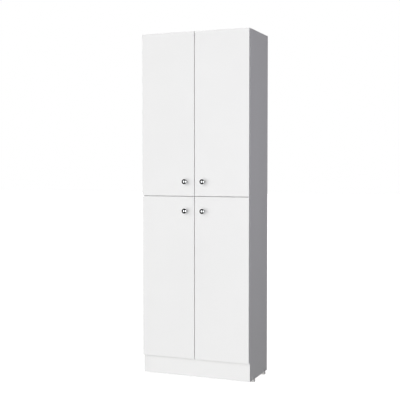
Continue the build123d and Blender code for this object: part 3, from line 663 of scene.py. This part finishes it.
class CABINET_OT_feet(Operator):
    """Mould the four glide feet and the door buffers"""

    bl_idname = "cabinet.feet"
    bl_label = "Feet and buffers"

    def execute(self, context):
        values = context.scene.cabinet_finish
        moulded = plastic("foot_plastic", values.foot_colour, rough=0.42, texture=700.0)
        dress(FEET, moulded)
        soft = plastic("buffer_soft", values.buffer_colour, rough=0.30, texture=1200.0)
        dress([f"door_buffers_{d}" for d in DOORS], soft)
        return {"FINISHED"}


class CABINET_OT_cam_caps(Operator):
    """Add a domed plastic cap over every cam lock"""

    bl_idname = "cabinet.cam_caps"
    bl_label = "Cam caps"

    def execute(self, context):
        sizes = context.scene.cabinet_fittings
        values = context.scene.cabinet_finish
        radius, height = sizes.cap_radius, sizes.cap_height
        # Shares of the cap's height: straight rim, rounding, and the dome's ring
        rim, rounding, dome = 0.25, 0.55, 0.93
        dome_radius = 0.6 * radius
        profile = [(radius, 0.0), (radius, rim * height)]
        for i in range(1, CAP_RIM_STEPS):
            angle = math.pi / 2 * i / CAP_RIM_STEPS
            profile.append((radius - sizes.cap_round * (1 - math.cos(angle)),
                            height * (rim + rounding * math.sin(angle))))
        profile += [(dome_radius, height * dome), (0.0, height)]
        skin = plastic("cap_plastic", values.melamine_colour, rough=0.36, texture=900.0)
        down = Euler((math.pi, 0, 0)).to_matrix()
        for name in FIXED_BOARDS:
            low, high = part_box(name)
            ends = (low.x + sizes.cam_from_end, high.x - sizes.cam_from_end)
            rows = (low.y + sizes.cam_inset, high.y - sizes.cam_inset)
            places = [(Vector((x, y, low.z)), down) for x in ends for y in rows]
            caps = lathe(f"cam_caps_{name}", profile, CAP_STEPS, places)
            add_piece(caps, "carcass", skin)
        low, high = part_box("plinth")
        back = Euler((-math.pi / 2, 0, 0)).to_matrix()
        places = [(Vector((x, high.y, (low.z + high.z) / 2)), back)
                  for x in (low.x + sizes.cam_from_end, high.x - sizes.cam_from_end)]
        caps = lathe("cam_caps_plinth", profile, CAP_STEPS, places)
        add_piece(caps, "carcass", skin)
        return {"FINISHED"}


class CABINET_OT_stage(Operator):
    """Set the camera, the pale floor and the soft light"""

    bl_idname = "cabinet.stage"
    bl_label = "Stage"

    def execute(self, context):
        stage = context.scene.cabinet_stage
        self.camera(context.scene, stage)
        self.floor(context.scene, stage)
        self.surround(context.scene, stage)
        self.lights(stage)
        context.scene.view_settings.view_transform = "Standard"
        return {"FINISHED"}

    def camera(self, scene, stage):
        """The camera in front of the cabinet, to its right"""
        data = bpy.data.cameras.new("camera")
        data.lens = stage.lens
        data.sensor_width = SENSOR_WIDTH
        data.clip_start, data.clip_end = CLIP_NEAR, CLIP_FAR
        camera = bpy.data.objects.new("camera", data)
        camera.location = stage.camera_place
        camera.rotation_euler = (math.pi / 2 - stage.camera_dip, 0.0, stage.camera_turn)
        scene.collection.objects.link(camera)
        scene.camera = camera

    def floor(self, scene, stage):
        """A glowing white floor that neither lights nor shades the cabinet"""
        half = FLOOR_HALF
        mesh = bpy.data.meshes.new("floor")
        mesh.from_pydata([(-half, -half, 0), (half, -half, 0), (half, half, 0),
                          (-half, half, 0)], [], [(0, 1, 2, 3)])
        floor = bpy.data.objects.new("floor", mesh)
        scene.collection.objects.link(floor)
        pale = Finish("floor_white")
        pale.colour(pale.blend(pale.remap(pale.noise(scale=1.5)),
                               (0.80, 0.80, 0.80), (0.82, 0.82, 0.82)))
        pale.set(Roughness=0.9, Emission_Color=WHITE,
                 Emission_Strength=stage.floor_glow, Specular_IOR_Level=0.0)
        mesh.materials.append(pale.material)
        floor.visible_diffuse = False
        floor.visible_glossy = False
        floor.visible_shadow = False

    def surround(self, scene, stage):
        """A world that is white to the eye, dim as light, and dark in mirrors"""
        world = bpy.data.worlds.new("studio")
        world.use_nodes = True
        sky = Tree(world.node_tree)
        sky.tree.nodes.clear()
        output = sky.add("ShaderNodeOutputWorld")
        room = sky.add("ShaderNodeBackground")
        room.inputs["Strength"].default_value = stage.sky_strength
        seen = sky.add("ShaderNodeBackground")
        seen.inputs["Strength"].default_value = 1.0
        for node in (room, seen):
            node.inputs["Color"].default_value = WHITE
        mirrored = sky.add("ShaderNodeBackground")
        sky.join(self.softboxes(sky, stage), mirrored.inputs["Strength"])
        path = sky.add("ShaderNodeLightPath")
        shown = room.outputs["Background"]
        for ray, background in (("Is Glossy Ray", mirrored), ("Is Camera Ray", seen)):
            mix = sky.add("ShaderNodeMixShader")
            sky.join(path.outputs[ray], mix.inputs["Fac"])
            sky.join(shown, mix.inputs[1])
            sky.join(background.outputs["Background"], mix.inputs[2])
            shown = mix.outputs["Shader"]
        sky.join(shown, output.inputs["Surface"])
        scene.world = world

    def softboxes(self, sky, stage):
        """Strength of the mirrored surround: tall panels on a dark room"""
        look = sky.add("ShaderNodeTexCoord")
        squeeze = sky.add("ShaderNodeVectorMath", operation="MULTIPLY")
        squeeze.inputs[1].default_value = (1.0, 1.0, 1.0 / SOFTBOX_TALL)
        sky.join(look.outputs["Generated"], squeeze.inputs[0])
        unit = sky.add("ShaderNodeVectorMath", operation="NORMALIZE")
        sky.join(squeeze.outputs["Vector"], unit.inputs[0])
        panels = [sky.remap(sky.along(unit.outputs["Vector"], Vector(way).normalized()),
                            stage.dark_side, stage.softbox,
                            math.cos(math.radians(SOFTBOX_OUTER)),
                            math.cos(math.radians(SOFTBOX_FULL)))
                  for way in SOFTBOX_WAYS]
        strongest = panels[0]
        for panel in panels[1:]:
            strongest = sky.math("MAXIMUM", strongest, panel)
        return strongest

    def lights(self, stage):
        """A broad light on the doors, a weak one behind and a small one beside"""
        for name, strength, way in (("key", stage.key_strength, stage.key_way),
                                    ("back", stage.back_strength, stage.back_way)):
            sun = bpy.data.lights.new(name, "SUN")
            sun.energy = strength
            sun.angle = stage.key_softness
            self.hang(sun, Vector(SUN_PLACE), Vector(way))
        side = bpy.data.lights.new("side", "AREA")
        side.energy = stage.side_power
        side.color = stage.side_colour
        side.size = stage.side_size
        place = Vector(stage.side_place)
        target = (Vector(CAD_BOX[0]) + Vector(CAD_BOX[1])) / 2
        self.hang(side, place, target - place)

    def hang(self, light, place, way):
        """Aim a light; it lights matt surfaces and isn't mirrored"""
        lamp = bpy.data.objects.new(light.name, light)
        lamp.location = place
        lamp.rotation_euler = way.to_track_quat("-Z", "Y").to_euler()
        lamp.visible_camera = False
        lamp.visible_glossy = False
        bpy.context.scene.collection.objects.link(lamp)


OPERATORS = (CABINET_OT_carcass, CABINET_OT_doors, CABINET_OT_back, CABINET_OT_knobs,
             CABINET_OT_hinges, CABINET_OT_hinge_springs, CABINET_OT_fasteners,
             CABINET_OT_feet, CABINET_OT_cam_caps, CABINET_OT_stage)


class CABINET_PT_panel(Panel):
    """Sidebar list of the cabinet's building steps"""

    bl_idname = "CABINET_PT_panel"
    bl_label = "Pantry Cabinet"
    bl_space_type = "VIEW_3D"
    bl_region_type = "UI"
    bl_category = "Cabinet"

    def draw(self, context):
        column = self.layout.column()
        for step in OPERATORS:
            column.operator(step.bl_idname)


CLASSES = (CabinetFinish, CabinetFittings, CabinetStage, *OPERATORS, CABINET_PT_panel)


def register():
    for cls in CLASSES:
        bpy.utils.register_class(cls)
    bpy.types.Scene.cabinet_finish = PointerProperty(type=CabinetFinish)
    bpy.types.Scene.cabinet_fittings = PointerProperty(type=CabinetFittings)
    bpy.types.Scene.cabinet_stage = PointerProperty(type=CabinetStage)


def unregister():
    del bpy.types.Scene.cabinet_stage
    del bpy.types.Scene.cabinet_fittings
    del bpy.types.Scene.cabinet_finish
    for cls in reversed(CLASSES):
        bpy.utils.unregister_class(cls)


def main():
    register()
    for step in OPERATORS:
        group, name = step.bl_idname.split(".")
        getattr(getattr(bpy.ops, group), name)()


if __name__ == "__main__":
    main()
